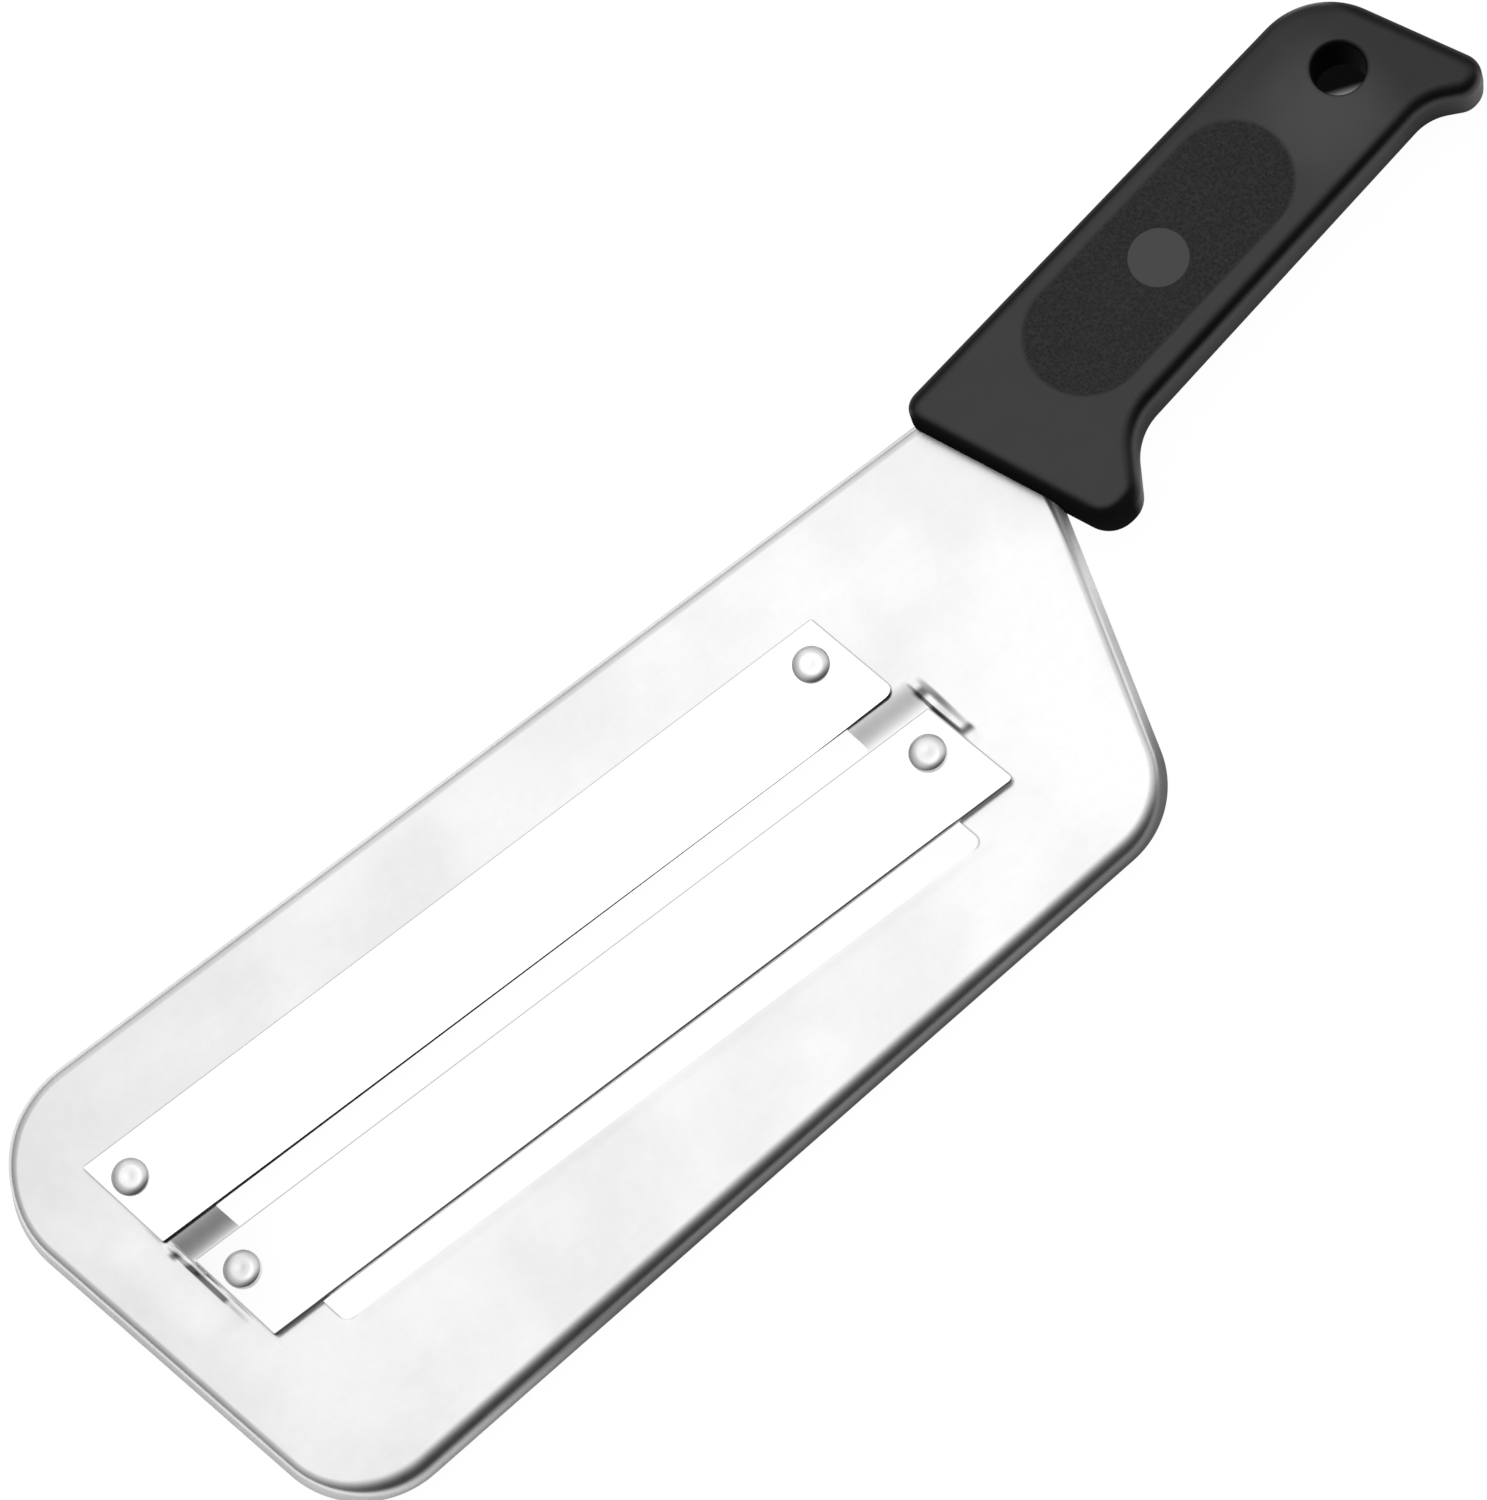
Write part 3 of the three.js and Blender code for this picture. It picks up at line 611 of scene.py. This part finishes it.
def plateSteel(look):
    material, tree, place = newMaterial("satinPlateSteel")
    grain = place.mapped(Scale=look["rolledLines"]).noise(scale=4.0, detail=3.0)
    mottle = place.noise(look["mottleScale"], detail=4.0, roughness=0.6)
    clouds = place.noise(look["cloudScale"]).step(*look["clouds"])
    tone = mottle.weighed(clouds, look["toneShares"]).mixed(grey(look["dark"]), grey(look["light"]))
    rough = look["roughness"] + look["mottle"] * mottle.weighed(grain, look["roughShares"])
    x, y, z = place.drawn(lowerMiddle).axes()
    u = x + y * lean
    # painted shade darkens the steps at both ends of the pocket
    for (left, right), (front, back), soft in look["crevices"]:
        paintedShadeLine = u.within(left, right, soft) * y.within(front, back, look["paintedShadeSoft"])
        tone = (paintedShadeLine * look["paintedShadeCover"]).mixed(tone, grey(look["paintedShade"]))
    # a darker line round the ends of the front slot
    _, rear, front = frontSlot
    corner = slots["corner"]
    fromMiddle = abs(u + slots["frontShift"])
    fromAxis = abs(y + (lowerMiddle.y - (rear + front) / 2))
    aside = (fromMiddle - (slotLength / 2 - corner)).atLeast(0.0)
    over = (fromAxis - ((rear - front) / 2 - corner)).atLeast(0.0)
    inner, outer = corner - look["lipInside"], corner + look["lipOutside"]
    lip = aside.hypotenuse(over).within(inner, outer, look["lipSoft"])
    tone = (lip * fromMiddle.step(*look["lipFrom"])).mixed(tone, grey(look["lipTone"]))
    # painted light: the rim is painted pale, less metallic and rougher where it runs into the handle,
    # standing in for the light band it would mirror there
    paintedRimLight = (1 - z.step(*look["paintedRimLightBelow"])) * x.step(*look["paintedRimLightFrom"])
    surface(tree, {
        "Base Color": paintedRimLight.mixed(tone, grey(look["paintedRimLightTone"])),
        "Metallic": 1 - look["paintedRimLightMetalLoss"] * paintedRimLight,
        "Roughness": rough + look["paintedRimLightRoughness"] * paintedRimLight,
        "Normal": mottle.weighed(grain, look["bumpShares"]).bumped(look["bump"], look["bumpDepth"]),
    })
    return material


def pressedDepth(u, y):
    # height of the sheet at u along the lower blade and y across the plate
    p = pressing
    end = p["handle"] if u > 0 else p["tip"]
    drop = p["drop"] * (1 - p["dropLean"] * u / p["nearEnd"])
    if y >= p["foot"]:
        t = (p["rampTop"] - y) / (p["rampTop"] - p["foot"])
        height = -drop * (0.5 * ease(t) + 0.5 * min(max(t, 0.0), 1.0))
    else:
        seat = -p["gap"] - (y - lowerLevel) * math.tan(blade["tilt"])
        t = ease((p["foot"] - y) / p["footRun"])
        height = min((1 - t) * -drop + t * seat, 0.0)
    across = abs(u) + end["lean"] * (p["foot"] - y)
    inside = 1 - sum(share * ease((across - start) / (stop - start)) for start, stop, share in end["steps"])
    # the flat round the pocket is drawn in a little
    edge = end["steps"][-1][1]
    drawn = ease((edge + p["drawRun"] - abs(u)) / p["drawRun"])
    drawn *= ease((p["rampTop"] + p["drawSide"] - y) / p["drawSide"])
    drawn *= ease((y - seatFront + p["drawSide"]) / p["drawSide"])
    # the sheet rolls down a little at the front edge of the front slot
    rolled = ease(1 - abs(y - slotFront) / p["lipRun"])
    rolled *= ease((slotLength / 2 + p["lipFade"] - abs(u)) / (2 * p["lipFade"]))
    return height * inside - end["draw"] * drawn * (1 - inside) - p["lip"] * rolled


def along(co):
    return co.x - lowerMiddle.x + (co.y - lowerMiddle.y) * lean


def inWindow(co, front, back, farEnd):
    return abs(along(co)) < farEnd and front < co.y < back


def spread(start, stop, steps):
    return [start + (stop - start) * k / steps for k in range(steps)]


def trayMesh(bend, flare):
    bm = bmesh.new()
    top = roundedFace(bm, plate["corners"], plate["cornerSteps"], -plate["rim"])
    rise = plate["rim"] - bend * (1 - math.cos(flare))
    insetFace(bm, top, rise / math.tan(flare), rise)
    for k in range(plate["bendSteps"]):
        a, b = (flare * (1 - j / plate["bendSteps"]) for j in (k, k + 1))
        insetFace(bm, top, bend * (math.sin(a) - math.sin(b)), bend * (math.cos(b) - math.cos(a)))
    return bm


def fromSide(co, k):
    # distance of a point from side k of the plate's outline, inwards
    start = Vector((*plate["corners"][k][:2], 0))
    stop = Vector((*plate["corners"][(k + 1) % 4][:2], 0))
    way = (stop - start).normalized()
    return Vector((-way.y, way.x, 0)).dot(Vector((co.x, co.y, 0)) - start)


def blendedTray():
    # a wide bend along the front, a closer one behind, and a tight bend with a flared wall at both ends
    bm, rear, ends = (trayMesh(*plate[bend]) for bend in ("frontBend", "backBend", "endBend"))
    for v, atBack, atEnd in zip(bm.verts, rear.verts, ends.verts):
        tip, front, right, back = (fromSide(atEnd.co, k) for k in range(4))
        lengthwise = atBack.co.lerp(v.co, ease(0.5 + (back - front) / plate["blend"]))
        v.co = atEnd.co.lerp(lengthwise, ease(0.5 + (min(tip, right) - min(front, back)) / plate["blend"]))
    rear.free()
    ends.free()
    return bm


def cutAcross(y):
    return Vector((0, y, 0)), Vector((0, 1, 0))


def cutAlong(u):
    return Vector((lowerMiddle.x + u, lowerMiddle.y, 0)), acrossEnd


def pressDown(bm):
    # a grid of cuts over the pressed part of the flat, which is then pushed down
    p = pressing
    back, front, farEnd = p["rampTop"] + p["drawSide"], slotFront - p["lipRun"], p["farEnd"]
    seatRear = p["foot"] - p["footRun"]
    rows = spread(back, p["rampTop"], p["sideSteps"]) + spread(p["rampTop"], p["foot"], p["rampSteps"])
    rows += spread(p["foot"], seatRear, p["footSteps"]) + spread(seatRear, seatFront, p["seatSteps"])
    rows += spread(seatFront, seatFront - p["drawSide"], p["sideSteps"])
    rows += spread(slotFront + p["lipRun"], front, p["lipSteps"])
    columns = [slotLength / 2 + k for k in range(-p["lipFade"], p["lipFade"] + 1)]
    columns += spread(p["nearEnd"], p["wallEnd"], p["endSteps"])
    columns += spread(p["wallEnd"], farEnd, p["slowSteps"])
    border = [cutAcross(front), cutAcross(back), cutAlong(-farEnd), cutAlong(farEnd)]
    inner = [cutAcross(y) for y in rows[1:]] + [cutAlong(s * u) for u in columns for s in (-1, 1)]
    for point, normal in border + inner:
        flats = [f for f in bm.faces if f.calc_center_median().z > -same]
        if (point, normal) in inner:
            flats = [f for f in flats if inWindow(f.calc_center_median(), front, back, farEnd)]
        geom = {g for f in flats for g in (*f.verts, *f.edges, f)}
        bmesh.ops.bisect_plane(bm, geom=list(geom), dist=nearCut, plane_co=point, plane_no=normal)
    for v in bm.verts:
        if v.co.z > -same and inWindow(v.co, front, back, farEnd):
            v.co.z += pressedDepth(along(v.co), v.co.y)


def plateMesh():
    bm = blendedTray()
    pressDown(bm)
    # the sheet ends a little way inside the handle
    slant = handle["frontSlant"] + handle["turn"]
    mouth = handlePlace @ Vector((*handle["outline"][0][:2], 0))
    inward = Vector((math.cos(slant), math.sin(slant), 0))
    bmesh.ops.bisect_plane(bm, geom=wholeMesh(bm), dist=nearCut, plane_co=mouth + inward * plate["tuck"],
                           plane_no=inward, clear_outer=True)
    return bm


def slotCutter():
    bm = bmesh.new()
    for middle, rear, front in (middleSlot, frontSlot):
        one = bmesh.new()
        corners = skewedCorners(middle, slotLength, rear, front, slots["corner"], slots["corner"])
        base = roundedFace(one, corners, slots["cornerSteps"], slots["cutFrom"])
        extrudeFace(one, base, slots["cutHeight"])
        bmesh.ops.recalc_face_normals(one, faces=one.faces[:])
        mesh = bpy.data.meshes.new("slot")
        one.to_mesh(mesh)
        one.free()
        bm.from_mesh(mesh)
        bpy.data.meshes.remove(mesh)
    return objectFrom(bm, "slots", Matrix())


sheet = objectFrom(plateMesh(), "sheet_plate", Matrix())
wall = sheet.modifiers.new("wall", "SOLIDIFY")
wall.thickness = sheetThickness * millimetre
wall.offset = -1
wall.use_even_offset = True
applyModifiers(sheet)
cutAway(sheet, slotCutter())
finishPiece(sheet, plateSteel(plateFinish), "body_plate")


# Floor, light and camera, with places in metres

# a patch is (low, high, softness) in x and in y; what the hole shows is placed from its axis
stage = {
    "halfSize": 6.0, "drop": 0.0004, "glow": 0.97, "seen": 0.06,
    "sideGlow": 0.95, "frontGlow": 0.18, "sideCloth": 0.25, "frontCloth": 0.10, "frontTurn": (0.35, 0.6),
    "nearMiddle": 0.0001, "reach": 0.012,
    "inSlots": 0.8, "slotPatch": ((-0.13, 0.014, 0.006), (-0.03, 0.006, 0.004)),
    "byHandle": 0.7, "handlePatch": ((0.05, 0.07, 0.004), (-0.0025, 0.03, 0.005)),
    "underHole": 0.004, "throughHole": 0.75, "holeEdge": (0.0065, 0.009),
    "holeWay": (0.37, 0.93), "holeFade": (-0.003, 0.0012),
}


def makeTable():
    material, tree, place = newMaterial("whiteTable")
    seen = tree.node("ShaderNodeLightPath", out="Is Camera Ray")
    x, y, _ = place.axes()
    # painted shade: the floor is darker in front of the tool, in its colour and in the glow the steel mirrors
    ahead = 0 - y * tree.maths("INVERSE_SQRT", x * x + y * y + stage["nearMiddle"])
    front = ahead.step(*stage["frontTurn"])

    # painted shadow on the table where the handle stands on it, with a painted pool of light, as seen down
    # the hanging hole
    hole = drawing @ handlePlace @ handle["holePlace"]
    across, up = x - hole.x, y - hole.y
    away = across.hypotenuse(up).step(*stage["holeEdge"])
    shaded = across.weighed(up, stage["holeWay"]).step(*stage["holeFade"])
    patch = stage["underHole"] + stage["throughHole"] * (1 - shaded)
    glow = stage["glow"] * (away + (1 - away) * patch)
    cloth = seen.mixed(front.mixed(grey(stage["sideCloth"]), grey(stage["frontCloth"])),
                       away.mixed(grey(0.0), grey(stage["seen"])))

    # the glow the steel mirrors: dimmed by ambient occlusion close to the tool, with painted light patches in
    # the slots and beside the handle
    bare = tree.node("ShaderNodeAmbientOcclusion", {"samples": 8}, {"Distance": stage["reach"]}, "AO")
    bare = bare * bare
    bounce = (stage["sideGlow"] - (stage["sideGlow"] - stage["frontGlow"]) * front) * bare * bare
    for share, area in (("inSlots", "slotPatch"), ("byHandle", "handlePatch")):
        inX, inY = stage[area]
        bounce = bounce + stage[share] * x.within(*inX) * y.within(*inY)
    strength = seen * glow + (1 - seen) * bounce
    lit = tree.node("ShaderNodeEmission", {}, {"Color": grey(1.0), "Strength": strength})
    matt = tree.node("ShaderNodeBsdfDiffuse", {}, {"Color": cloth})
    both = tree.node("ShaderNodeAddShader", {}, {0: matt, 1: lit})

    # clear from below, for views of the underside
    under = tree.node("ShaderNodeNewGeometry", out="Backfacing")
    clear = tree.node("ShaderNodeBsdfTransparent")
    oneSided = tree.node("ShaderNodeMixShader", {}, {0: under, 1: both, 2: clear})
    tree.node("ShaderNodeOutputMaterial", {}, {"Surface": oneSided})
    return material


def makeFloor():
    bm = bmesh.new()
    bmesh.ops.create_grid(bm, x_segments=1, y_segments=1, size=stage["halfSize"])
    bmesh.ops.translate(bm, vec=(0, 0, cadLow.z - stage["drop"]), verts=bm.verts[:])
    mesh = bpy.data.meshes.new("floor")
    bm.to_mesh(mesh)
    bm.free()
    mesh.materials.append(makeTable())
    floor = bpy.data.objects.new("floor", mesh)
    scene.collection.objects.link(floor)


sky = {
    "axis": Vector((0, 0.12, 0.993)).normalized(), "low": 0.06, "dome": 1.0, "fall": 1.4,
    "box": 0.42, "boxEdge": (0.88, 0.985), "tipSide": 0.12, "handleSide": 0.3, "sideEdge": (0.35, 0.9),
    "front": 0.14, "frontEdge": (-0.85, -0.05), "back": 1.75, "backEdge": (0.55, 0.95),
    "tipLoss": 0.26, "tipEdge": (-0.18, -0.06),
}


def makeSky():
    world = bpy.data.worlds.new("studio")
    scene.world = world
    world.use_nodes = True
    world.node_tree.nodes.clear()
    tree = Wire(world.node_tree)
    way = tree.node("ShaderNodeTexCoord", out="Generated")
    x, y, _ = way.axes()
    facing = tree.node("ShaderNodeVectorMath", {"operation": "DOT_PRODUCT"}, {0: way, 1: sky["axis"]},
                       "Value")
    dome = tree.maths("POWER", facing.atLeast(0.0), sky["fall"])
    radiance = sky["low"] + sky["dome"] * dome + sky["box"] * facing.step(*sky["boxEdge"])
    radiance = radiance + sky["tipSide"] * (0 - x).step(*sky["sideEdge"])
    radiance = radiance + sky["handleSide"] * x.step(*sky["sideEdge"])
    radiance = radiance * (sky["front"] + (1 - sky["front"]) * y.step(*sky["frontEdge"]))
    radiance = radiance * (1 - (1 - sky["back"]) * y.step(*sky["backEdge"]))
    radiance = radiance * (1 - sky["tipLoss"] + sky["tipLoss"] * x.step(*sky["tipEdge"]))
    seen = tree.node("ShaderNodeLightPath", out="Is Camera Ray")
    strength = radiance * (1 - seen) + seen
    shade = tree.node("ShaderNodeBackground", {}, {"Color": grey(1.0), "Strength": strength})
    tree.node("ShaderNodeOutputWorld", {}, {"Surface": shade})


# focal and imageHeight are in the photograph's pixels, and target is in the drawing's millimetres
camera = {
    "focal": 5600.0, "imageHeight": 1500.0, "sensor": 36.0, "clip": (0.01, 100.0),
    "distance": 0.9241, "target": Vector((51.4, -1.4, 0.0)),
    "right": Vector((0.79894, -0.57755, -0.16770)), "up": Vector((0.60132, 0.76226, 0.23950)),
}


def makeCamera():
    lens = bpy.data.cameras.new("camera")
    lens.sensor_width = camera["sensor"]
    lens.lens = camera["sensor"] * camera["focal"] / camera["imageHeight"]
    lens.clip_start, lens.clip_end = camera["clip"]
    eye = bpy.data.objects.new("camera", lens)
    scene.collection.objects.link(eye)
    back = camera["right"].cross(camera["up"]).normalized()
    turned = Matrix((camera["right"], camera["up"], back)).transposed().to_4x4()
    eye.matrix_world = Matrix.Translation(drawing @ camera["target"] + back * camera["distance"]) @ turned
    scene.camera = eye


makeFloor()
makeSky()
makeCamera()
scene.view_settings.view_transform = "Standard"
scene.view_settings.look = "None"
print("stage ready")
